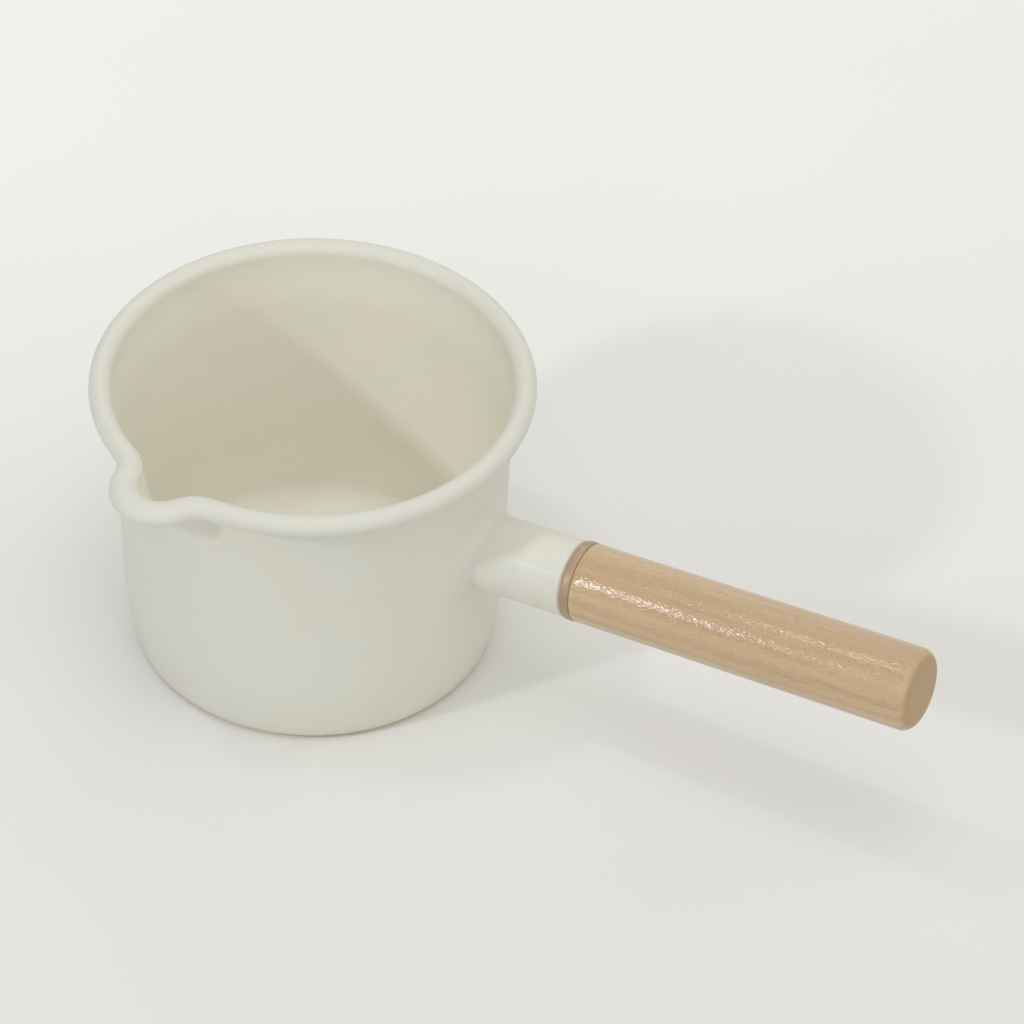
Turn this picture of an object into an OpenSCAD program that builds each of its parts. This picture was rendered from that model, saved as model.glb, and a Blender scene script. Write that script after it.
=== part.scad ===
// Candle melting pot: a small enamelled steel pan with a rolled rim, a pressed
// pouring lip and one turned wooden handle that screws on to the socket.
// The origin is the middle of the flat base, +Z is up and the handle leaves along +X.

/* [Body] */
// Overall height of the pan, from the base to the top of the rim
body_h = 102; // [90:1:120]
// Outside radius of the wall just under the rim
body_r = 62; // [58:0.5:66]
// How much the outside radius shrinks from there to the top of the belly curve
taper = 1.3; // [0:0.1:2.5]
// Thickness of the wall, steel and enamel together
wall_t = 1.5; // [1:0.1:2]
// Thickness of the base
base_t = 2.4; // [1.5:0.1:3.5]
// Height at which the wall starts to curve in towards the base
belly_z = 28; // [20:1:40]
// Radius of that long curve
belly_r = 120; // [90:5:200]
// Radius of the outside corner between the wall and the base
corner_r = 4.5; // [3:0.5:8]
// Radius of the inside corner between the wall and the floor
floor_corner_r = 5; // [3:0.5:8]

/* [Rim and lip] */
// Radius of the circle that the middle of the rolled rim follows
rim_r = 66; // [65:0.5:68]
// Radius of the rolled rim itself
bead_r = 3.4; // [2.5:0.1:4]
// Depth of the zone under the rim where the wall flares out
flare_h = 20; // [14:1:26]
// Direction of the pouring lip, measured from the handle
lip_a = -102.3; // [-135:0.1:-60]
// How far the lip stands out past the rim circle
lip_out = 11.6; // [8:0.1:14]
// Radius of the lip's nose, seen from above
lip_nose_r = 11.9; // [9:0.1:16]
// Radius of the hollow bend on each side of the nose
lip_bend_r = 10.5; // [8:0.5:16]
// How far the lip's tip dips
lip_dip = 0.9; // [0:0.1:3]
// How much wider the rolled rim is pressed at the lip, as a share of its width
lip_wide = 0.37; // [0:0.01:0.5]
// Half of the angle over which the rim widens and dips
lip_spread = 22.5; // [18:0.5:30]

/* [Handle] */
// Height at which the handle's axis crosses the middle of the pan
handle_z = 52.7; // [45:0.1:60]
// Rise of the handle above level
handle_tilt = 5; // [0:0.5:10]
// Distance from the pan's middle to the socket's mouth
mouth_s = 95; // [88:0.5:105]
// Outside radius of the socket
socket_r = 12.3; // [11:0.1:14]
// Thickness of the socket's wall
socket_t = 1.6; // [1.2:0.1:2]
// Radius of the fillet between the socket and the wall
root_r = 5; // [3:0.5:8]
// Radius of the wood where it leaves the ferrule
grip_r0 = 12.5; // [11:0.1:14]
// Radius of the wood near its free end
grip_r1 = 12.9; // [11:0.1:15]
// Length of wood that shows
grip_l = 113.9; // [90:0.1:140]
// Rounding of the free end
grip_end_r = 3.6; // [1:0.1:6]

/* [Fittings] */
// Thickness of the gasket that keeps metal off the enamelled mouth
gasket_t = 0.6; // [0.4:0.1:1]
// Width of the metal ferrule
ferrule_w = 3; // [2:0.1:5]
// How far the ferrule stands proud of the wood beside it
ferrule_proud = 0.2; // [0:0.1:0.6]
// Radius of the wooden tenon inside the ferrule and the socket
tenon_r = 10.2; // [9:0.1:10.6]
// Length of the tenon
tenon_l = 18.6; // [12:0.1:24]
// Radius of the threaded stud
stud_r = 3; // [2.5:0.5:4]
// Thickness of the nut welded inside the socket
nut_t = 6; // [4:0.5:8]
// Outside radius of the brass insert in the wood
insert_r = 5; // [4.5:0.1:6]
// Length of the brass insert
insert_l = 22; // [14:1:30]
// Thickness of the spring washer
washer_t = 1.5; // [1:0.1:2]

/* [Hidden] */

enamel = "ivory";
steel = "silver";
beech = "burlywood";

// Smoothness of true circles
round_fn = 96;

// Levels of the rim zone
bead_z = body_h - bead_r;
flare_z = bead_z - flare_h;
// Angle round the bead at which the curled edge meets the wall again
curl_a = -126;
curl_z = bead_z + bead_r * sin(curl_a);
// The flare carries the inside of the wall out to the inside of the bead
flare_out = rim_r - bead_r - body_r + wall_t;

// The shell is a ring of sheet that joins a plain disc at the middle of the base
ring_in_r = 30;
disc_r = 40;

// Steps round the lip and round the rest of the rim
lip_fan = 23;
lip_steps = 46;
rim_steps = 62;
// Steps along the round stretches of the section
corner_steps = 4;
belly_steps = 4;
flare_steps = 6;
bead_steps = 17;
mouth_steps = 4;
skirt_steps = 6;
skirt_sides = 64;

// The skirt's fillet stops just short of the tube and has a thin edge on the wall
skirt_top_a = 80;
skirt_edge = 0.15;
skirt_bury = 0.3;

// Stations along the handle's axis
tube_s = body_r + 2.5;
gasket_s = mouth_s;
ferrule_s = gasket_s + gasket_t;
shoulder_s = ferrule_s + ferrule_w;
grip_end_s = shoulder_s + grip_l;
tenon_s = shoulder_s - tenon_l;
washer_s = tenon_s - washer_t;
nut_s = washer_s - nut_t;
bore_r = socket_r - socket_t;
ferrule_r = grip_r0 + ferrule_proud;
ferrule_bore_r = tenon_r + 0.1;
gasket_r = socket_r - 0.2;
stud_tail = 8;
stud_tip_gap = 2;
stud_l = nut_t + washer_t + insert_l + 2 * stud_tail;
nut_vent = 1.2;
washer_in_r = stud_r + 0.2;
washer_out_r = stud_r + 2.2;
washer_slit = 1;
mouth_round = 0.7;
shoulder_round = 0.6;

// 0 to 1 with a soft start and a soft stop
function smooth(t) = let (u = min(max(t, 0), 1)) u * u * (3 - 2 * u);

// A round hump of height 1 and the given half width
function hump(a, half) = abs(a) < half ? (1 + cos(180 * a / half)) / 2 : 0;

// Quarter round and long curve from a flat floor up to the top of the belly
function foot_points(low_r, long_r, c, floor_z) =
    let (lean = asin((belly_z - floor_z - c) / (long_r - c)),
         c_x = low_r - long_r + (long_r - c) * cos(lean))
    concat(
        [for (k = [0:corner_steps]) let (a = -90 + (90 - lean) * k / corner_steps)
            [c_x + c * cos(a), floor_z + c + c * sin(a)]],
        [for (k = [1:belly_steps]) let (a = lean * (k / belly_steps - 1))
            [low_r - long_r + long_r * cos(a), belly_z + long_r * sin(a)]]);

// The wall's flare under the rim, from the straight wall up
function flare_points(wall_r, top_z, steps) =
    [for (k = [0:steps - 1]) let (z = flare_z + (top_z - flare_z) * k / steps)
        [wall_r + flare_out * smooth((z - flare_z) / flare_h), z]];

// The rolled rim, from the wall outside, over the top and down inside
bead_points = [for (k = [0:bead_steps]) let (a = curl_a + (180 - curl_a) * k / bead_steps)
    [rim_r + bead_r * cos(a), bead_z + bead_r * sin(a)]];

outside = concat([[ring_in_r, 0]],
                 foot_points(body_r - taper, belly_r, corner_r, 0),
                 flare_points(body_r, curl_z, flare_steps));
inside = concat([[ring_in_r, base_t]],
                foot_points(body_r - taper - wall_t, belly_r - wall_t, floor_corner_r, base_t),
                flare_points(body_r - wall_t, bead_z, flare_steps));
reversed_inside = [for (k = [len(inside) - 1:-1:0]) inside[k]];
section = concat(outside, bead_points, reversed_inside);

// Path of the rim in plan: the rim circle, a hollow bend, the round nose and the bend again
nose_d = rim_r + lip_out - lip_nose_r;
bend_x = (pow(rim_r + lip_bend_r, 2) - pow(lip_nose_r + lip_bend_r, 2) + nose_d * nose_d)
    / (2 * nose_d);
bend_y = sqrt(pow(rim_r + lip_bend_r, 2) - bend_x * bend_x);
bend_share = lip_nose_r / (lip_nose_r + lip_bend_r);
bend_start_a = atan2(bend_y, bend_x);
nose_start_a = atan2(bend_y * bend_share, nose_d + (bend_x - nose_d) * bend_share);
function rim_radius(a) =
    let (t = abs(a - lip_a),
         past_bend = bend_x * sin(t) - bend_y * cos(t),
         past_nose = nose_d * sin(t))
    t < nose_start_a ? nose_d * cos(t) + sqrt(lip_nose_r * lip_nose_r - past_nose * past_nose)
    : t < bend_start_a
        ? bend_x * cos(t) + bend_y * sin(t) - sqrt(lip_bend_r * lip_bend_r - past_bend * past_bend)
        : rim_r;
function rim_point(a) = rim_radius(a) * [cos(a), sin(a)];
function rim_normal(a) =
    let (t = rim_point(a + 0.1) - rim_point(a - 0.1)) [t.y, -t.x] / norm(t);

// A point of the section carried round to angle a; the lip fades out down the flare
function shell_point(a, r, z) =
    let (w = smooth((z - flare_z) / (curl_z - flare_z)),
         share = hump(a - lip_a, lip_spread),
         plain = r * [cos(a), sin(a)],
         lip = rim_point(a) + (r - rim_r) * (1 + lip_wide * share) * rim_normal(a),
         p = (1 - w) * plain + w * lip)
    [p.x, p.y, z - w * lip_dip * share];

angles = concat(
    [for (k = [0:lip_steps - 1]) lip_a - lip_fan + 2 * lip_fan * k / lip_steps],
    [for (k = [0:rim_steps - 1]) lip_a + lip_fan + (360 - 2 * lip_fan) * k / rim_steps]);

// A point at distance s along the handle's axis, r away from it, at angle a from its top
function handle_point(s, r, a) =
    [s * cos(handle_tilt) - r * cos(a) * sin(handle_tilt),
     -r * sin(a),
     handle_z + s * sin(handle_tilt) + r * cos(a) * cos(handle_tilt)];

// Outside radius of the straight wall at height z
function wall_radius(z) = body_r - taper * (flare_z - z) / (flare_z - belly_z);

// Distance along the handle's axis at which a line r away from it meets the wall
function wall_s(r, a) =
    let (z = handle_point(body_r, r, a).z, w = wall_radius(z), y = r * sin(a))
    (sqrt(w * w - y * y) + r * cos(a) * sin(handle_tilt)) / cos(handle_tilt);

// Section of the skirt: radius, and height above the wall
skirt_section = concat(
    [[bore_r + skirt_bury, 0], [socket_r, 0]],
    [for (k = [0:skirt_steps]) let (a = skirt_top_a * k / skirt_steps)
        [socket_r + root_r * (1 - sin(a)), root_r * (1 - cos(a)) + skirt_edge]],
    [[socket_r - skirt_bury, root_r * (1 - cos(skirt_top_a)) + skirt_edge],
     [bore_r + skirt_bury, root_r * (1 - cos(skirt_top_a)) + skirt_edge]]);

// Carries its children from a vertical axis on to the handle's axis, at distance s
module on_handle(s) {
    translate([0, 0, handle_z])
        rotate([0, 90 - handle_tilt, 0])
            translate([0, 0, s])
                children();
}

// Ring with rounded outside edges, standing on the XY plane
module soft_ring(r_out, r_in, h, crown) {
    steps = 8;
    rotate_extrude($fn = round_fn)
        polygon(concat(
            [[r_in, 0]],
            [for (k = [0:steps]) let (t = k / steps) [r_out - crown * pow(2 * t - 1, 2), h * t]],
            [[r_in, h]]));
}

module pot_shell() {
    count = len(angles);
    rows = len(section);
    points = [for (a = angles) for (p = section) shell_point(a, p[0], p[1])];
    faces = [for (i = [0:count - 1]) for (j = [0:rows - 1])
        let (i2 = (i + 1) % count, j2 = (j + 1) % rows)
        [i * rows + j, i * rows + j2, i2 * rows + j2, i2 * rows + j]];
    color(enamel)
        union() {
            polyhedron(points = points, faces = faces, convexity = 6);
            cylinder(h = base_t, r = disc_r, $fn = round_fn);
        }
}

// Skirt that fillets the socket into the wall; its back face lies on the wall
module root_skirt() {
    points = [for (i = [0:skirt_sides - 1]) let (a = 360 * i / skirt_sides)
        for (p = skirt_section) handle_point(wall_s(p[0], a) + p[1], p[0], a)];
    rows = len(skirt_section);
    faces = [for (i = [0:skirt_sides - 1]) for (j = [0:rows - 1])
        let (i2 = (i + 1) % skirt_sides, j2 = (j + 1) % rows)
        [i * rows + j, i * rows + j2, i2 * rows + j2, i2 * rows + j]];
    polyhedron(points = points, faces = faces, convexity = 4);
}

module handle_socket() {
    color(enamel)
        union() {
            root_skirt();
            on_handle(tube_s)
                rotate_extrude($fn = round_fn)
                    polygon(concat(
                        [[bore_r, 0], [socket_r, 0]],
                        [for (k = [0:mouth_steps]) let (a = 90 * k / mouth_steps)
                            [socket_r - mouth_round + mouth_round * cos(a),
                             mouth_s - tube_s - mouth_round + mouth_round * sin(a)]],
                        [[bore_r, mouth_s - tube_s]]));
        }
}

module anchor_nut() {
    color(steel)
        on_handle(nut_s)
            difference() {
                cylinder(h = nut_t, r = bore_r, $fn = round_fn);
                translate([0, 0, -1])
                    cylinder(h = nut_t + 2, r = stud_r, $fn = round_fn);
                for (side = [-1, 1])
                    translate([-bore_r, side > 0 ? bore_r - nut_vent : -2 * bore_r + nut_vent, -1])
                        cube([2 * bore_r, bore_r, nut_t + 2]);
            }
}

module handle_stud() {
    color(steel)
        on_handle(nut_s - stud_tail)
            cylinder(h = stud_l, r = stud_r, $fn = round_fn);
}

module spring_washer() {
    color(steel)
        on_handle(washer_s)
            difference() {
                cylinder(h = washer_t, r = washer_out_r, $fn = round_fn);
                translate([0, 0, -1])
                    cylinder(h = washer_t + 2, r = washer_in_r, $fn = round_fn);
                translate([0, -washer_slit / 2, -1])
                    cube([2 * washer_out_r, washer_slit, washer_t + 2]);
            }
}

module heat_gasket() {
    color("dimgray")
        on_handle(gasket_s)
            soft_ring(gasket_r, ferrule_bore_r, gasket_t, 0);
}

module ferrule_ring() {
    color("peru")
        on_handle(ferrule_s)
            soft_ring(ferrule_r, ferrule_bore_r, ferrule_w, 0.5);
}

module threaded_insert() {
    color("gold")
        on_handle(tenon_s)
            difference() {
                cylinder(h = insert_l, r = insert_r, $fn = round_fn);
                translate([0, 0, -1])
                    cylinder(h = insert_l + 2, r = stud_r, $fn = round_fn);
            }
}

module handle_grip() {
    end_steps = 6;
    arc_s = grip_end_s - grip_end_r - tenon_s;
    color(beech)
        on_handle(tenon_s)
            difference() {
                rotate_extrude($fn = round_fn)
                    polygon(concat(
                        [[0, 0],
                         [tenon_r, 0],
                         [tenon_r, tenon_l],
                         [grip_r0 - shoulder_round, tenon_l],
                         [grip_r0, tenon_l + shoulder_round]],
                        [for (k = [0:end_steps]) let (a = 90 * k / end_steps)
                            [grip_r1 - grip_end_r + grip_end_r * cos(a), arc_s + grip_end_r * sin(a)]],
                        [[0, arc_s + grip_end_r]]));
                translate([0, 0, -1])
                    cylinder(h = insert_l + 1, r = insert_r, $fn = round_fn);
                translate([0, 0, -1])
                    cylinder(h = insert_l + stud_tail + stud_tip_gap + 1, r = stud_r + 0.2,
                             $fn = round_fn);
            }
}

pot_shell();
handle_socket();
anchor_nut();
handle_stud();
spring_washer();
heat_gasket();
ferrule_ring();
threaded_insert();
handle_grip();
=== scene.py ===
"""Looks of the candle melting pot: enamelled shell and socket, bronze ferrule, lacquered beech grip.

Lengths are in metres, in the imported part's own frame: origin in the middle of the flat base,
+Z up and the handle leaving along +X. Shapes repeat the part's driving dimensions, at a finer step.
"""

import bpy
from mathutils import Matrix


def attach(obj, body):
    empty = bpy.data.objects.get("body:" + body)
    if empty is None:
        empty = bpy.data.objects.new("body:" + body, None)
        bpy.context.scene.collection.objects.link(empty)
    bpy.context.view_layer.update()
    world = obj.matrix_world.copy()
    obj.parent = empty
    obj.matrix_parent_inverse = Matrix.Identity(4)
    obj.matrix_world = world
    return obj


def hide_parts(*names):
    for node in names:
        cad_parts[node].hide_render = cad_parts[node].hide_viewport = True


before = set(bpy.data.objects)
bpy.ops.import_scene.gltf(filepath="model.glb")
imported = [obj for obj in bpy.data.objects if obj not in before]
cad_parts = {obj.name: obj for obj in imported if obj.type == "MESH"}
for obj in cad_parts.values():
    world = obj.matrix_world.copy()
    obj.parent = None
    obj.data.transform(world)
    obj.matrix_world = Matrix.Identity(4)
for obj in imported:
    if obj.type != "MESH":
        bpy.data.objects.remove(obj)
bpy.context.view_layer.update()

import math

import bpy
from mathutils import Matrix, Vector

MM = 0.001

# ---------------------------------------------------------------- driving dimensions, as in the part
BODY_H = 102 * MM
BODY_R = 62 * MM
TAPER = 1.3 * MM
WALL_T = 1.5 * MM
BASE_T = 2.4 * MM
BELLY_Z = 28 * MM
BELLY_R = 120 * MM
CORNER_R = 4.5 * MM
FLOOR_CORNER_R = 5 * MM
RIM_R = 66 * MM
BEAD_R = 3.4 * MM
FLARE_H = 20 * MM
LIP_A = -102.3
LIP_OUT = 11.6 * MM
LIP_NOSE_R = 11.9 * MM
LIP_BEND_R = 10.5 * MM
LIP_DIP = 0.9 * MM
LIP_WIDE = 0.37
LIP_SPREAD = 22.5
HANDLE_Z = 52.7 * MM
HANDLE_TILT = math.radians(5)
MOUTH_S = 95 * MM
SOCKET_R = 12.3 * MM
SOCKET_T = 1.6 * MM
ROOT_R = 5 * MM
GRIP_R0 = 12.5 * MM
GRIP_R1 = 12.9 * MM
GRIP_L = 113.9 * MM
GRIP_END_R = 3.6 * MM
GASKET_T = 0.6 * MM
FERRULE_W = 3 * MM
FERRULE_CROWN = 0.2 * MM
FERRULE_EDGE = 0.12 * MM
TENON_R = 10.2 * MM
TENON_L = 18.6 * MM

BEAD_Z = BODY_H - BEAD_R
FLARE_Z = BEAD_Z - FLARE_H
CURL_A = math.radians(-126)
CURL_Z = BEAD_Z + BEAD_R * math.sin(CURL_A)
FLARE_OUT = RIM_R - BEAD_R - BODY_R + WALL_T
FERRULE_S = MOUTH_S + GASKET_T
SHOULDER_S = FERRULE_S + FERRULE_W

# Steps of the fine meshes. The shell has LIP_STEPS within LIP_FAN degrees of the lip, BODY_STEPS elsewhere
LIP_FAN = 23
LIP_STEPS = 138
BODY_STEPS = 256
BEAD_STEPS = 34
SOCKET_SIDES = 128
FERRULE_SIDES = 160
GRIP_SIDES = 144

# Zones of painted light on the enamel, one value per vertex: painted shade on the bead, painted light on
# the inside wall and most on the inside floor, standing in for light bounced round inside the pot
LIGHT_ZONE_OUTSIDE, LIGHT_ZONE_BEAD, LIGHT_ZONE_INSIDE, LIGHT_ZONE_FLOOR = 0.0, 0.33, 0.67, 1.0

# The camera, matched to the photo: degrees round, up and turned, metres away, and how far to the right
# of the origin and above it the camera aims, across its view
CAMERA_AZIMUTH, CAMERA_ELEVATION, CAMERA_ROLL = 28.2, 42.15, 1.89
CAMERA_DISTANCE = 1.48
CAMERA_AIM_RIGHT, CAMERA_AIM_UP = 0.06396, 0.03311
SENSOR_MM, LENS_MM = 36, 160.6

# The lip in plan: centre of its nose, and where the hollow bend starts and meets the nose
NOSE_D = RIM_R + LIP_OUT - LIP_NOSE_R
BEND_X = ((RIM_R + LIP_BEND_R) ** 2 - (LIP_NOSE_R + LIP_BEND_R) ** 2 + NOSE_D ** 2) / (2 * NOSE_D)
BEND_Y = math.sqrt((RIM_R + LIP_BEND_R) ** 2 - BEND_X ** 2)
BEND_SHARE = LIP_NOSE_R / (LIP_NOSE_R + LIP_BEND_R)
BEND_START = math.atan2(BEND_Y, BEND_X)
NOSE_START = math.atan2(BEND_Y * BEND_SHARE, NOSE_D + (BEND_X - NOSE_D) * BEND_SHARE)

AXIS = Vector((math.cos(HANDLE_TILT), 0, math.sin(HANDLE_TILT)))
ACROSS = Vector((0, 1, 0))
UPWARD = Vector((-math.sin(HANDLE_TILT), 0, math.cos(HANDLE_TILT)))
HANDLE_FRAME = Matrix((
    (UPWARD.x, -ACROSS.x, AXIS.x, 0),
    (UPWARD.y, -ACROSS.y, AXIS.y, 0),
    (UPWARD.z, -ACROSS.z, AXIS.z, HANDLE_Z),
    (0, 0, 0, 1)))


# ---------------------------------------------------------------- small helpers
def smooth(t):
    """0 to 1 with a soft start and a soft stop."""
    u = min(max(t, 0.0), 1.0)
    return u * u * (3 - 2 * u)


def hump(angle, half):
    """A round hump of height 1 and the given half width, in degrees."""
    return (1 + math.cos(math.pi * angle / half)) / 2 if abs(angle) < half else 0.0


def arc(cx, cy, radius, start, end, steps):
    """Points on an arc, angles in radians, both ends included."""
    turn = (end - start) / steps
    return [(cx + radius * math.cos(start + turn * k), cy + radius * math.sin(start + turn * k))
            for k in range(steps + 1)]


def ground_direction(back, right, up):
    """A direction as the photographer would say it: away from the camera, to its right, and up."""
    cos_a, sin_a = 0.881, 0.473  # of the camera's azimuth
    return Vector((cos_a * right - sin_a * back, sin_a * right + cos_a * back, up)).normalized()


def make_piece(name, points, faces, material, stands_for, place=None):
    """One smooth-shaded mesh piece that rides on the root body."""
    mesh = bpy.data.meshes.new(name)
    mesh.from_pydata([tuple(p) for p in points], [], faces)
    mesh.validate()
    mesh.polygons.foreach_set("use_smooth", [True] * len(mesh.polygons))
    mesh.materials.append(material)
    piece = bpy.data.objects.new(name, mesh)
    bpy.context.scene.collection.objects.link(piece)
    if place is not None:
        piece.matrix_world = place
    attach(piece, "root")
    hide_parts(*stands_for)
    return piece


def grid_faces(columns, rows, closed_rows):
    """Quads between neighbouring columns (always closed) and rows of a point grid."""
    last = rows if closed_rows else rows - 1
    faces = []
    for i in range(columns):
        i2 = (i + 1) % columns
        for j in range(last):
            j2 = (j + 1) % rows
            faces.append((i * rows + j, i2 * rows + j, i2 * rows + j2, i * rows + j2))
    return faces


def lathe(section, sides, closed=False):
    """Turns (radius, height) points round Z. A point on the axis becomes one vertex."""
    points = []
    rings = []
    for radius, height in section:
        if radius < 1e-7:
            rings.append([len(points)])
            points.append((0, 0, height))
            continue
        ring = []
        for i in range(sides):
            a = 2 * math.pi * i / sides
            ring.append(len(points))
            points.append((radius * math.cos(a), radius * math.sin(a), height))
        rings.append(ring)
    faces = []
    for low, high in zip(rings, rings[1:] + rings[:1] if closed else rings[1:]):
        for i in range(sides):
            i2 = (i + 1) % sides
            if len(low) == 1:
                faces.append((low[0], high[i2], high[i]))
            elif len(high) == 1:
                faces.append((low[i], low[i2], high[0]))
            else:
                faces.append((low[i], low[i2], high[i2], high[i]))
    return points, faces


# ---------------------------------------------------------------- node helpers
class Nodes:
    """Short way to write a node tree."""

    def __init__(self, name):
        self.material = bpy.data.materials.new(name)
        self.material.use_nodes = True
        self.tree = self.material.node_tree
        self.tree.nodes.clear()
        self.out = self.add("ShaderNodeOutputMaterial")
        self.shader = self.add("ShaderNodeBsdfPrincipled")
        self.link(self.shader, "BSDF", self.out, "Surface")
        self.coords = self.add("ShaderNodeTexCoord")

    def add(self, kind, **settings):
        node = self.tree.nodes.new(kind)
        for key, value in settings.items():
            setattr(node, key, value)
        return node

    def link(self, source, output, target, name):
        self.tree.links.new(source.outputs[output], target.inputs[name])

    def mapped(self, scale=(1, 1, 1), rotation=(0, 0, 0), location=(0, 0, 0)):
        node = self.add("ShaderNodeMapping")
        node.inputs["Scale"].default_value = scale
        node.inputs["Rotation"].default_value = rotation
        node.inputs["Location"].default_value = location
        self.link(self.coords, "Object", node, "Vector")
        return node

    def noise(self, scale, detail=3.0, rough=0.5, stretch=(1, 1, 1), distortion=0.0, source=None):
        node = self.add("ShaderNodeTexNoise")
        node.inputs["Scale"].default_value = scale
        node.inputs["Detail"].default_value = detail
        node.inputs["Roughness"].default_value = rough
        node.inputs["Distortion"].default_value = distortion
        if source is None:
            source = self.mapped(scale=stretch)
        self.link(source, "Vector", node, "Vector")
        return node

    def ramp(self, source, output, stops, ease="LINEAR"):
        """stops: (position, colour or grey)."""
        node = self.add("ShaderNodeValToRGB")
        node.color_ramp.interpolation = ease
        elements = node.color_ramp.elements
        while len(elements) < len(stops):
            elements.new(0.5)
        for element, (position, colour) in zip(elements, stops):
            if isinstance(colour, (int, float)):
                colour = (colour, colour, colour)
            element.position = position
            element.color = (*colour, 1)
        self.link(source, output, node, "Fac")
        return node

    def mix(self, fac, a, b, blend="MIX"):
        """fac, a and b: (node, output) or a plain value or colour. Returns (node, output)."""
        node = self.add("ShaderNodeMix", data_type="RGBA", blend_type=blend)
        for index, value in ((0, fac), (6, a), (7, b)):
            if isinstance(value, tuple) and hasattr(value[0], "outputs"):
                self.tree.links.new(value[0].outputs[value[1]], node.inputs[index])
            elif index == 0:
                node.inputs[index].default_value = value
            else:
                node.inputs[index].default_value = (*value, 1)
        return node, 2

    def math(self, operation, a, b):
        """a and b: (node, output) or a plain number. Returns (node, output)."""
        node = self.add("ShaderNodeMath", operation=operation)
        for index, value in ((0, a), (1, b)):
            if isinstance(value, tuple):
                self.tree.links.new(value[0].outputs[value[1]], node.inputs[index])
            else:
                node.inputs[index].default_value = value
        return node, 0

    def bump(self, height, strength, distance, before=None):
        node = self.add("ShaderNodeBump")
        node.inputs["Strength"].default_value = strength
        node.inputs["Distance"].default_value = distance
        self.tree.links.new(height[0].outputs[height[1]], node.inputs["Height"])
        if before is not None:
            self.link(before, "Normal", node, "Normal")
        return node

    def set(self, **values):
        """Sets or links inputs of the shader; an underscore in a name stands for a space."""
        for key, value in values.items():
            socket = self.shader.inputs[key.replace("_", " ")]
            if isinstance(value, tuple) and hasattr(value[0], "outputs"):
                self.tree.links.new(value[0].outputs[value[1]], socket)
            else:
                socket.default_value = value


# ---------------------------------------------------------------- materials
def enamel_material():
    """Cream vitreous enamel: a soft sheen under a thin clear skin, slow waves, orange peel, specks.

    Its colour is painted in lit and shaded copies by zone: painted shade makes it a little duller on the
    bead than outside, and painted light makes it lighter and warmer on the inside wall and lightest on the
    inside floor, for light bounced round inside the pot. The outside of the base corner gets a light brown
    painted contact shade, most towards the front right.
    """
    m = Nodes("enamel")
    light_zone = m.add("ShaderNodeAttribute", attribute_name="light_zone")
    # Lit and shaded copies of the enamel colour: painted shade on the bead, painted light on the inside
    # wall and floor
    base = m.ramp(light_zone, "Fac", [(LIGHT_ZONE_OUTSIDE, (0.726, 0.720, 0.630)), (LIGHT_ZONE_BEAD, (0.700, 0.692, 0.608)),
                                (LIGHT_ZONE_INSIDE, (0.816, 0.794, 0.680)), (LIGHT_ZONE_FLOOR, (0.900, 0.882, 0.768))])
    cloud = m.noise(28, detail=4, rough=0.6)
    tone = m.ramp(cloud, "Fac", [(0.32, (0.992, 0.982, 0.962)), (0.52, 1.0), (0.72, (0.997, 1.0, 1.0))])
    colour = m.mix(1.0, (base, "Color"), (tone, "Color"), "MULTIPLY")
    fine = m.noise(900, detail=2, rough=0.6)
    grain = m.ramp(fine, "Fac", [(0.35, 0.975), (0.65, 1.0)])
    colour = m.mix(1.0, colour, (grain, "Color"), "MULTIPLY")
    speck = m.noise(1500, detail=0, rough=0.3)
    speck_mask = m.ramp(speck, "Fac", [(0.79, 0.0), (0.83, 1.0)])
    colour = m.mix(m.math("MULTIPLY", (speck_mask, "Color"), 0.2), colour, (0.36, 0.31, 0.23))
    height = m.add("ShaderNodeSeparateXYZ")
    m.link(m.coords, "Object", height, "Vector")
    # Painted contact shade: a light brown band on the outside of the base corner's lower rounding,
    # strongest towards the front right
    low = m.ramp(height, "Z", [(2.6 * MM, 1.0), (4.0 * MM, 0.0)])
    side = m.add("ShaderNodeVectorMath", operation="DOT_PRODUCT")
    m.link(m.coords, "Object", side, 0)
    side.inputs[1].default_value = ground_direction(-1, 1, 0)
    front_right_shade = m.ramp(side, "Value", [(10 * MM, 0.4), (45 * MM, 1.0)])
    facing = m.add("ShaderNodeSeparateXYZ")
    m.link(m.coords, "Normal", facing, "Vector")
    downwards, _ = m.math("MULTIPLY", (facing, 2), -1.0)
    rounded = m.ramp(downwards, "Value", [(0.90, 1.0), (0.99, 0.0)])
    outside = m.ramp(light_zone, "Fac", [(0.1, 1.0), (0.3, 0.0)])
    foot = m.math("MULTIPLY", m.math("MULTIPLY", (low, "Color"), (front_right_shade, "Color")),
                  m.math("MULTIPLY", (rounded, "Color"), (outside, "Color")))
    colour = m.mix(m.math("MULTIPLY", foot, 0.85), colour, (0.66, 0.44, 0.25))
    waves = m.noise(120, detail=2, rough=0.5)
    peel = m.noise(650, detail=2, rough=0.5)
    gloss = m.ramp(cloud, "Fac", [(0.3, 0.50), (0.7, 0.57)])
    slow = m.bump((waves, "Fac"), 0.2, 0.0006)
    bumped = m.bump((peel, "Fac"), 0.12, 0.00012, slow)
    m.set(Base_Color=colour, Roughness=(gloss, "Color"), IOR=1.5, Specular_IOR_Level=0.4,
          Coat_Weight=0.04, Coat_Roughness=0.18, Normal=(bumped, "Normal"), Coat_Normal=(bumped, "Normal"))
    return m.material


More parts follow.
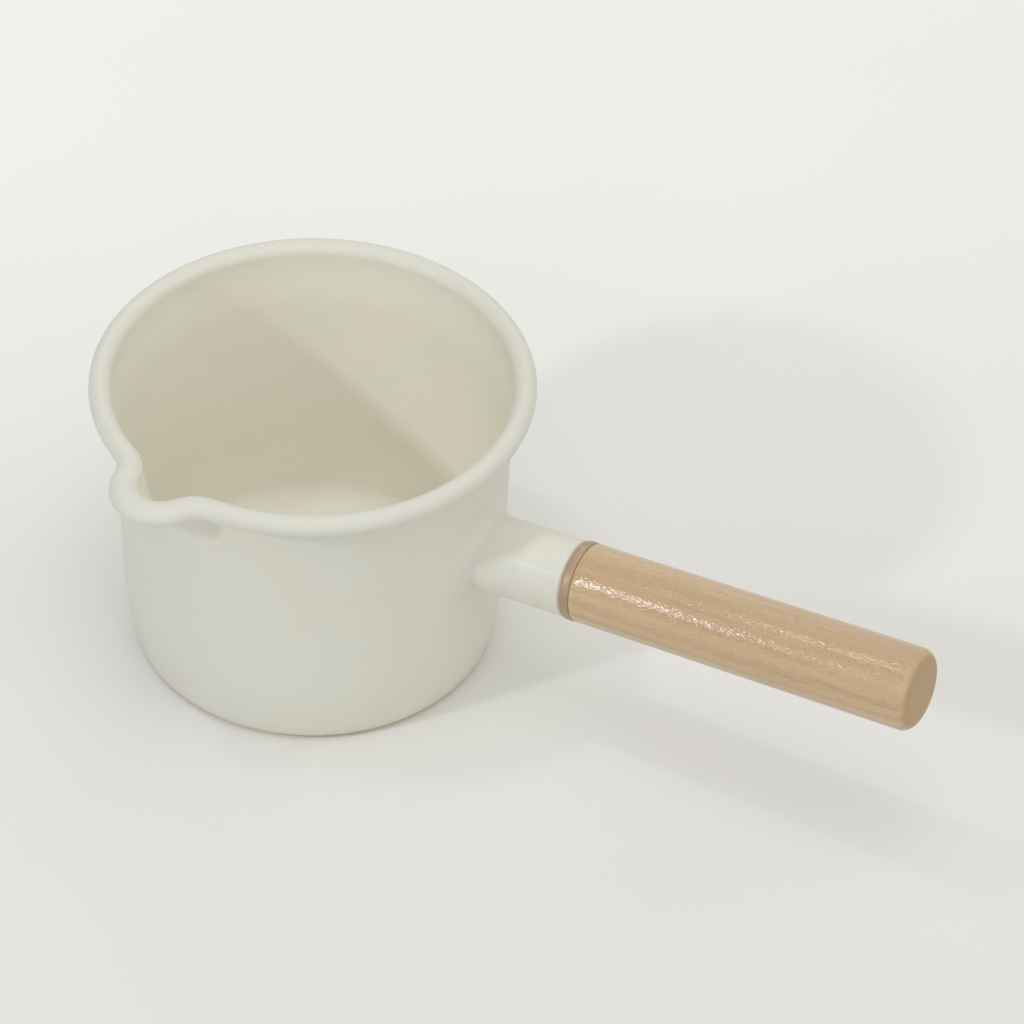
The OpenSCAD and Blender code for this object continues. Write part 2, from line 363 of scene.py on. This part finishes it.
def wood_material():
    """Light beech under clear lacquer. The grain runs along the piece's own Z.

    Where the rounded end cuts across the grain, the wood drinks lacquer and is darker and duller.
    The lacquer is rippled by the fibres, which breaks its highlight into specks.
    """
    m = Nodes("beech")
    ring_space = m.mapped(location=(0.034, 0.012, 0))
    warp = m.noise(1, detail=3, rough=0.5, stretch=(60, 60, 9))
    bend = m.add("ShaderNodeVectorMath", operation="SCALE")
    m.link(warp, "Color", bend, 0)
    bend.inputs["Scale"].default_value = 0.006
    moved = m.add("ShaderNodeVectorMath", operation="ADD")
    m.link(ring_space, "Vector", moved, 0)
    m.link(bend, "Vector", moved, 1)
    rings = m.add("ShaderNodeTexWave", wave_type="RINGS", rings_direction="Z")
    m.link(moved, "Vector", rings, "Vector")
    rings.inputs["Scale"].default_value = 75
    rings.inputs["Distortion"].default_value = 1.2
    rings.inputs["Detail"].default_value = 2
    ring_tone = m.ramp(rings, "Fac", [(0.0, (0.602, 0.410, 0.230)), (0.6, (0.577, 0.388, 0.212)),
                                      (0.95, (0.537, 0.350, 0.187))], "EASE")
    streaks = m.noise(1, detail=5, rough=0.65, stretch=(420, 420, 14))
    streak_tone = m.ramp(streaks, "Fac", [(0.28, 0.87), (0.5, 1.0), (0.75, 1.06)])
    colour = m.mix(0.9, (ring_tone, "Color"), (streak_tone, "Color"), "MULTIPLY")
    fibres = m.noise(1, detail=3, rough=0.6, stretch=(1800, 1800, 60))
    fibre_tone = m.ramp(fibres, "Fac", [(0.3, 0.90), (0.6, 1.0)])
    colour = m.mix(0.8, colour, (fibre_tone, "Color"), "MULTIPLY")
    pores = m.noise(1, detail=1, rough=0.4, stretch=(2700, 2700, 800))
    pore_mask = m.ramp(pores, "Fac", [(0.60, 0.0), (0.68, 1.0)])
    colour = m.mix(m.math("MULTIPLY", (pore_mask, "Color"), 0.30), colour, (0.25, 0.14, 0.07))
    lengthwise = m.add("ShaderNodeSeparateXYZ")
    m.link(m.coords, "Normal", lengthwise, "Vector")
    cut = m.ramp(lengthwise, "Z", [(0.55, 0.0), (0.97, 1.0)], "EASE")
    dots = m.noise(1800, detail=1, rough=0.5)
    cut_tone = m.ramp(dots, "Fac", [(0.4, (0.40, 0.246, 0.112)), (0.6, (0.455, 0.287, 0.138))])
    colour = m.mix((cut, "Color"), colour, (cut_tone, "Color"))
    gloss = m.ramp(cut, "Color", [(0.0, 0.40), (1.0, 0.60)])
    under = m.bump((fibres, "Fac"), 0.30, 0.0001)
    pitted = m.add("ShaderNodeInvert")
    m.link(pore_mask, "Color", pitted, "Color")
    bumped = m.bump((pitted, "Color"), 0.4, 0.00008, under)
    ripple = m.noise(1, detail=2, rough=0.6, stretch=(1500, 1500, 600))
    lacquer = m.bump((ripple, "Fac"), 0.8, 0.00013, bumped)
    skin = m.ramp(cut, "Color", [(0.0, 0.60), (1.0, 0.25)])
    m.set(Base_Color=colour, Roughness=(gloss, "Color"), Specular_IOR_Level=0.15,
          Coat_Weight=(skin, "Color"),
          Coat_Roughness=0.10, Normal=(bumped, "Normal"), Coat_Normal=(lacquer, "Normal"))
    return m.material


def metal_material(name, bright, dull, roughness, turned, metallic=1.0):
    """Plain metal with a little tarnish; turned is the stretch of its lathe marks.

    Less than full metallic stands for a dull lacquered plating.
    """
    m = Nodes(name)
    tarnish = m.noise(260, detail=4, rough=0.6)
    tone = m.ramp(tarnish, "Fac", [(0.35, dull), (0.65, bright)])
    marks = m.noise(1, detail=2, rough=0.5, stretch=turned)
    gloss = m.ramp(tarnish, "Fac", [(0.3, roughness + 0.1), (0.7, roughness)])
    bumped = m.bump((marks, "Fac"), 0.15, 0.00005)
    m.set(Base_Color=(tone, "Color"), Metallic=metallic, Roughness=(gloss, "Color"),
          Normal=(bumped, "Normal"))
    return m.material


def gasket_material():
    """Greyish brown heat-resisting sheet with a fibrous face."""
    m = Nodes("gasket")
    fibre = m.noise(900, detail=4, rough=0.7)
    tone = m.ramp(fibre, "Fac", [(0.3, (0.41, 0.32, 0.25)), (0.7, (0.53, 0.43, 0.35))])
    bumped = m.bump((fibre, "Fac"), 0.4, 0.00008)
    m.set(Base_Color=(tone, "Color"), Roughness=0.75, Normal=(bumped, "Normal"))
    return m.material


def floor_material():
    """Pale matt paper with a barely visible tooth, with painted light that makes it a little whiter
    towards the back.
    """
    m = Nodes("floor")
    tooth = m.noise(400, detail=3, rough=0.6)
    cloud = m.noise(6, detail=2, rough=0.5)
    tone = m.ramp(cloud, "Fac", [(0.3, (0.848, 0.848, 0.822)), (0.7, (0.868, 0.868, 0.842))])
    # Painted light: the floor's colour brightens towards the back, standing in for a lamp's light falling
    # off from behind
    depth = m.add("ShaderNodeVectorMath", operation="DOT_PRODUCT")
    m.link(m.coords, "Object", depth, 0)
    depth.inputs[1].default_value = ground_direction(1, 0, 0)
    shifted = m.math("ADD", (depth, "Value"), 0.1)
    white = m.ramp(shifted[0], "Value", [(0.06, 0.93), (0.20, 1.0), (0.38, 1.055)], "EASE")
    colour = m.mix(1.0, (tone, "Color"), (white, "Color"), "MULTIPLY")
    bumped = m.bump((tooth, "Fac"), 0.05, 0.0001)
    m.set(Base_Color=colour, Roughness=0.9, Specular_IOR_Level=0.15, Normal=(bumped, "Normal"))
    return m.material


# ---------------------------------------------------------------- the enamelled shell
def foot_section(low_r, long_r, corner, floor_z, corner_steps, belly_steps):
    """Quarter round and long curve from a flat floor up to the top of the belly."""
    lean = math.asin((BELLY_Z - floor_z - corner) / (long_r - corner))
    cx = low_r - long_r + (long_r - corner) * math.cos(lean)
    round_part = arc(cx, floor_z + corner, corner, -math.pi / 2, -lean, corner_steps)
    long_part = arc(low_r - long_r, BELLY_Z, long_r, -lean, 0, belly_steps)
    return round_part + long_part[1:]


def wall_section(wall_r, top_z, steps):
    """The straight wall above the belly and the flare under the rim."""
    low_r = wall_r - TAPER
    straight = [(low_r + TAPER * k / 8, BELLY_Z + (FLARE_Z - BELLY_Z) * k / 8) for k in range(1, 8)]
    flare = []
    for k in range(steps):
        z = FLARE_Z + (top_z - FLARE_Z) * k / steps
        flare.append((wall_r + FLARE_OUT * smooth((z - FLARE_Z) / FLARE_H), z))
    return straight + flare


def rim_radius(a):
    """Rim circle, hollow bend, round nose and the bend again."""
    t = math.radians(abs(a - LIP_A))
    if t < NOSE_START:
        return NOSE_D * math.cos(t) + math.sqrt(LIP_NOSE_R ** 2 - (NOSE_D * math.sin(t)) ** 2)
    if t < BEND_START:
        past = BEND_X * math.sin(t) - BEND_Y * math.cos(t)
        return BEND_X * math.cos(t) + BEND_Y * math.sin(t) - math.sqrt(LIP_BEND_R ** 2 - past ** 2)
    return RIM_R


def rim_point(a):
    r = rim_radius(a)
    return Vector((r * math.cos(math.radians(a)), r * math.sin(math.radians(a))))


def rim_normal(a):
    t = (rim_point(a + 0.05) - rim_point(a - 0.05)).normalized()
    return Vector((t.y, -t.x))


def shell_point(a, r, z, centre, normal):
    """A point of the section at angle a; the lip fades out down the flare."""
    w = smooth((z - FLARE_Z) / (CURL_Z - FLARE_Z))
    share = hump(a - LIP_A, LIP_SPREAD)
    plain = Vector((r * math.cos(math.radians(a)), r * math.sin(math.radians(a))))
    lip = centre + (r - RIM_R) * (1 + LIP_WIDE * share) * normal
    p = plain.lerp(lip, w)
    return Vector((p.x, p.y, z - w * LIP_DIP * share))


def set_light_zone(piece, values):
    """Writes the painted light zone at each vertex."""
    piece.data.attributes.new("light_zone", "FLOAT", "POINT").data.foreach_set("value", values)


def shell_light_zone(angles, outside_rows, bead_rows, inside):
    """Painted light zone of the shell: painted shade over the bead, painted light on the inside wall,
    growing towards the floor and up in the lip.
    """
    # The zone value, a painted shade on the bead, changes over these rows
    onto_bead, off_bead = 8, 9  # rows of the bead over which the depth changes
    inwards, towards_floor = LIGHT_ZONE_INSIDE - LIGHT_ZONE_BEAD, LIGHT_ZONE_FLOOR - LIGHT_ZONE_INSIDE
    bead = [LIGHT_ZONE_BEAD * smooth(k / onto_bead) + inwards * smooth((k - bead_rows + 1 + off_bead) / off_bead)
            for k in range(bead_rows)]
    # Painted light: the inside wall gets lighter towards the floor, and lighter still up in the lip
    wall = [LIGHT_ZONE_INSIDE + towards_floor * smooth((BODY_R - r) / (6 * MM) - 1) * (z < BELLY_Z) for r, z in inside]
    lip = [towards_floor * smooth((z - FLARE_Z) / FLARE_H) for _, z in inside]
    values = []
    for a in angles:
        share = hump(a - LIP_A, LIP_SPREAD)
        values += [LIGHT_ZONE_OUTSIDE] * outside_rows + bead
        values += [depth + share * extra for depth, extra in zip(wall, lip)][::-1]
    return values + [LIGHT_ZONE_OUTSIDE, LIGHT_ZONE_FLOOR]


def build_shell(material):
    """One closed skin: underside, outside, rolled rim, inside and floor."""
    floor_rings = [0.004, 0.012, 0.022, 0.032, 0.042, 0.049]
    outside = [(r, 0.0) for r in floor_rings]
    outside += foot_section(BODY_R - TAPER, BELLY_R, CORNER_R, 0, 10, 12)
    outside += wall_section(BODY_R, CURL_Z, 16)
    bead = arc(RIM_R, BEAD_Z, BEAD_R, CURL_A, math.pi, BEAD_STEPS)
    inside = [(r, BASE_T) for r in floor_rings]
    inside += foot_section(BODY_R - TAPER - WALL_T, BELLY_R - WALL_T, FLOOR_CORNER_R, BASE_T, 12, 12)
    inside += wall_section(BODY_R - WALL_T, BEAD_Z, 16)
    section = outside + bead + inside[::-1]
    angles = [LIP_A - LIP_FAN + 2 * LIP_FAN * k / LIP_STEPS for k in range(LIP_STEPS)]
    angles += [LIP_A + LIP_FAN + (360 - 2 * LIP_FAN) * k / BODY_STEPS for k in range(BODY_STEPS)]
    points = []
    for a in angles:
        centre, normal = rim_point(a), rim_normal(a)
        points += [shell_point(a, r, z, centre, normal) for r, z in section]
    rows = len(section)
    faces = grid_faces(len(angles), rows, False)
    for row, height in ((0, 0.0), (rows - 1, BASE_T)):  # close the underside and the inside floor
        middle = len(points)
        points.append(Vector((0, 0, height)))
        for i in range(len(angles)):
            i2 = (i + 1) % len(angles)
            pair = (i * rows + row, i2 * rows + row)
            faces.append((middle, *pair) if row else (middle, *pair[::-1]))
    piece = make_piece("enamel_shell", points, faces, material, ["pot_shell"])
    set_light_zone(piece, shell_light_zone(angles, len(outside), len(bead), inside))
    return piece


# ---------------------------------------------------------------- the socket
def handle_point(s, r, a):
    """A point at distance s along the handle's axis, r away from it, at angle a from its top."""
    side = UPWARD * math.cos(a) - ACROSS * math.sin(a)
    return Vector((0, 0, HANDLE_Z)) + AXIS * s + side * r


def wall_s(r, a):
    """Distance along the handle's axis at which a line r away from it meets the wall."""
    z = handle_point(BODY_R, r, a).z
    w = BODY_R - TAPER * (FLARE_Z - z) / (FLARE_Z - BELLY_Z)
    y = r * math.sin(a)
    return (math.sqrt(w * w - y * y) + r * math.cos(a) * math.sin(HANDLE_TILT)) / math.cos(HANDLE_TILT)


def build_socket(material):
    """Tube with a fillet that runs out on the wall, a rounded mouth and a hollow inside."""
    bore = SOCKET_R - SOCKET_T
    mouth_round = 0.7 * MM
    bury = 0.6 * MM  # how deep the root is sunk in the wall
    under = 0.05 * MM  # the skirt lies just under the wall, so the fillet ends without a crease
    edge = 0.015 * MM  # and the fillet starts just above it
    skirt_r = SOCKET_R + ROOT_R + 1.2 * MM
    root_steps, tube_steps = 14, 12
    points = []
    for i in range(SOCKET_SIDES):
        a = 2 * math.pi * i / SOCKET_SIDES
        column = [handle_point(wall_s(bore, a) - bury, bore, a),
                  handle_point(wall_s(skirt_r, a) - bury, skirt_r, a),
                  handle_point(wall_s(skirt_r, a) - under, skirt_r, a)]
        skirt_rows = len(column)
        for k in range(root_steps + 1):
            t = math.pi / 2 * k / root_steps
            r = SOCKET_R + ROOT_R * (1 - math.sin(t))
            s = wall_s(r, a) + edge * (1 - k / root_steps) + ROOT_R * (1 - math.cos(t))
            column.append(handle_point(s, r, a))
        start = wall_s(SOCKET_R, a) + ROOT_R
        stop = MOUTH_S - mouth_round
        for k in range(1, tube_steps):
            column.append(handle_point(start + (stop - start) * k / tube_steps, SOCKET_R, a))
        for r, s in arc(SOCKET_R - mouth_round, stop, mouth_round, math.pi / 2, 0, 6)[::-1]:
            column.append(handle_point(s, r, a))
        column.append(handle_point(MOUTH_S, bore, a))
        column.append(handle_point((MOUTH_S + BODY_R) / 2, bore, a))
        rows = len(column)
        points += column
    faces = grid_faces(SOCKET_SIDES, rows, True)
    piece = make_piece("enamel_socket", points, faces, material, ["handle_socket"])
    # Painted shade: away from its root the socket's tube takes the bead's duller zone
    column_light_zone = [LIGHT_ZONE_BEAD * smooth((k - skirt_rows) / root_steps) for k in range(rows)]
    set_light_zone(piece, column_light_zone * SOCKET_SIDES)
    return piece


# ---------------------------------------------------------------- ferrule and grip
def build_ferrule(material):
    """Crowned metal ring with a small bevel on each edge."""
    inner = TENON_R + 0.1 * MM
    bevel_r = GRIP_R0 - 0.15 * MM
    section = [(inner, 0), (bevel_r, 0), (GRIP_R0, FERRULE_EDGE)]
    crown_steps = 16
    for k in range(1, crown_steps):
        t = k / crown_steps
        rise = FERRULE_CROWN * (1 - (2 * t - 1) ** 2) ** 0.6
        section.append((GRIP_R0 + rise, FERRULE_EDGE + (FERRULE_W - 2 * FERRULE_EDGE) * t))
    section += [(GRIP_R0, FERRULE_W - FERRULE_EDGE), (bevel_r, FERRULE_W), (inner, FERRULE_W)]
    points, faces = lathe(section, FERRULE_SIDES, closed=True)
    place = HANDLE_FRAME @ Matrix.Translation((0, 0, FERRULE_S))
    return make_piece("ferrule", points, faces, material, ["ferrule_ring"], place)


def build_grip(material):
    """Turned grip with a tenon, a tight shoulder, a very slow taper and a rounded free end."""
    shoulder_round = 0.6 * MM
    start, stop = TENON_L + shoulder_round, TENON_L + GRIP_L
    inset = GRIP_R0 - shoulder_round
    section = [(0, 0), (TENON_R, 0), (TENON_R, TENON_L), (inset, TENON_L)]
    section += arc(inset, start, shoulder_round, -math.pi / 2, 0, 5)[1:]
    length = GRIP_L - shoulder_round - GRIP_END_R
    taper_steps = 40
    for k in range(1, taper_steps):
        t = k / taper_steps
        section.append((GRIP_R0 + (GRIP_R1 - GRIP_R0) * t, start + length * t))
    face_r = GRIP_R1 - GRIP_END_R
    section += arc(face_r, stop - GRIP_END_R, GRIP_END_R, 0, math.pi / 2, 12)
    section += [(face_r * t, stop) for t in (0.85, 0.6, 0.35, 0.15, 0)]
    points, faces = lathe(section, GRIP_SIDES)
    place = HANDLE_FRAME @ Matrix.Translation((0, 0, SHOULDER_S - TENON_L))
    return make_piece("beech_grip", points, faces, material, ["handle_grip"], place)


# ---------------------------------------------------------------- stage, lights and camera
def build_floor(material):
    half = 3.0
    mesh = bpy.data.meshes.new("floor")
    mesh.from_pydata([(-half, -half, 0), (half, -half, 0), (half, half, 0), (-half, half, 0)], [],
                     [(0, 1, 2, 3)])
    mesh.materials.append(material)
    floor = bpy.data.objects.new("floor", mesh)
    bpy.context.scene.collection.objects.link(floor)


def area_light(name, position, target, size, power):
    """A white round lamp at position, aimed at target. Size in metres, power in watts."""
    light = bpy.data.lights.new(name, "AREA")
    light.shape = "DISK"
    light.size = size
    light.energy = power
    lamp = bpy.data.objects.new(name, light)
    bpy.context.scene.collection.objects.link(lamp)
    lamp.location = position
    lamp.rotation_euler = (Vector(target) - Vector(position)).to_track_quat("-Z", "Y").to_euler()


def build_world():
    """A white tent whose walls glow softly in a few wide patches: direction, sharpness, radiance."""
    patches = [(ground_direction(-1, 0, 0.7), 3, (0.83, 0.83, 0.83)),
               (ground_direction(0, 1, 0.7), 3, (0.81, 0.80, 0.73)),
               (ground_direction(1, 0, 0.35), 4, (0.43, 0.43, 0.43)),
               (Vector((0, 0, 1)), 2, (0.19, 0.19, 0.19)),
               (Vector((0, 0, 1)), 8, (0.54, 0.54, 0.54))]
    world = bpy.data.worlds.new("studio")
    world.use_nodes = True
    bpy.context.scene.world = world
    tree = world.node_tree
    coords = tree.nodes.new("ShaderNodeTexCoord")

    def step(kind, operation, first, second, output=0):
        node = tree.nodes.new(kind)
        node.operation = operation
        tree.links.new(first, node.inputs[0])
        if isinstance(second, bpy.types.NodeSocket):
            tree.links.new(second, node.inputs[1])
        else:
            node.inputs[1].default_value = second
        return node.outputs[output]

    total = None
    for direction, sharpness, radiance in patches:
        facing = step("ShaderNodeVectorMath", "DOT_PRODUCT", coords.outputs["Generated"], direction, 1)
        glow = step("ShaderNodeMath", "POWER", step("ShaderNodeMath", "MAXIMUM", facing, 0.0), sharpness)
        patch = step("ShaderNodeVectorMath", "MULTIPLY", glow, radiance)
        total = patch if total is None else step("ShaderNodeVectorMath", "ADD", total, patch)
    tree.links.new(total, tree.nodes["Background"].inputs["Color"])


def build_lights():
    """A low key from the front left, a lamp above, a small one for the grip's highlight, one behind."""
    aim = (0.03, 0, 0.03)
    key = Vector((-0.7638, -1.2833, 1.0)).normalized() * 2.2
    area_light("key", key, aim, 0.18, 9.7)
    area_light("overhead", (0.25, -0.35, 1.8), aim, 0.8, 2.4)
    area_light("streak", (-0.55, -0.24, 1.74), aim, 0.12, 1.8)
    area_light("back", (-0.5203, 0.9691, 0.7), (-0.2365, 0.4405, 0), 1.0, 1.7)


def camera_axes(azimuth, elevation, roll):
    """Right, up and back vectors of a camera that looks at the object."""
    a, e, r = math.radians(azimuth), math.radians(elevation), math.radians(roll)
    back = Vector((math.sin(a) * math.cos(e), -math.cos(a) * math.cos(e), math.sin(e)))
    right = Vector((math.cos(a), math.sin(a), 0))
    up = back.cross(right)
    return (math.cos(r) * right + math.sin(r) * up, -math.sin(r) * right + math.cos(r) * up, back)


def build_camera():
    right, up, back = camera_axes(CAMERA_AZIMUTH, CAMERA_ELEVATION, CAMERA_ROLL)
    aim = right * CAMERA_AIM_RIGHT + up * CAMERA_AIM_UP
    data = bpy.data.cameras.new("camera")
    data.sensor_width = SENSOR_MM
    data.lens = LENS_MM
    data.clip_end = 20
    camera = bpy.data.objects.new("camera", data)
    bpy.context.scene.collection.objects.link(camera)
    camera.matrix_world = Matrix.Translation(aim + back * CAMERA_DISTANCE) @ Matrix((
        (right.x, up.x, back.x, 0),
        (right.y, up.y, back.y, 0),
        (right.z, up.z, back.z, 0),
        (0, 0, 0, 1)))
    bpy.context.scene.camera = camera


# ---------------------------------------------------------------- the whole scene
bpy.context.scene.view_settings.view_transform = "Standard"
bpy.context.scene.view_settings.gamma = 1.2

build_camera()
build_world()
build_lights()
build_floor(floor_material())

enamel = enamel_material()
steel = metal_material("bare_steel", (0.62, 0.62, 0.60), (0.45, 0.44, 0.42), 0.3, (900, 900, 120))
brass = metal_material("insert_brass", (0.72, 0.52, 0.23), (0.55, 0.38, 0.16), 0.28, (900, 900, 120))
bronze = metal_material("ferrule_bronze", (0.45, 0.315, 0.193), (0.37, 0.252, 0.152), 0.45,
                        (60, 60, 5000), metallic=0.6)

build_shell(enamel)
build_socket(enamel)
build_ferrule(bronze)
build_grip(wood_material())

for node, material in (("anchor_nut", steel), ("handle_stud", steel), ("spring_washer", steel),
                       ("threaded_insert", brass), ("heat_gasket", gasket_material())):
    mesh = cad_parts[node].data
    mesh.materials.clear()
    mesh.materials.append(material)
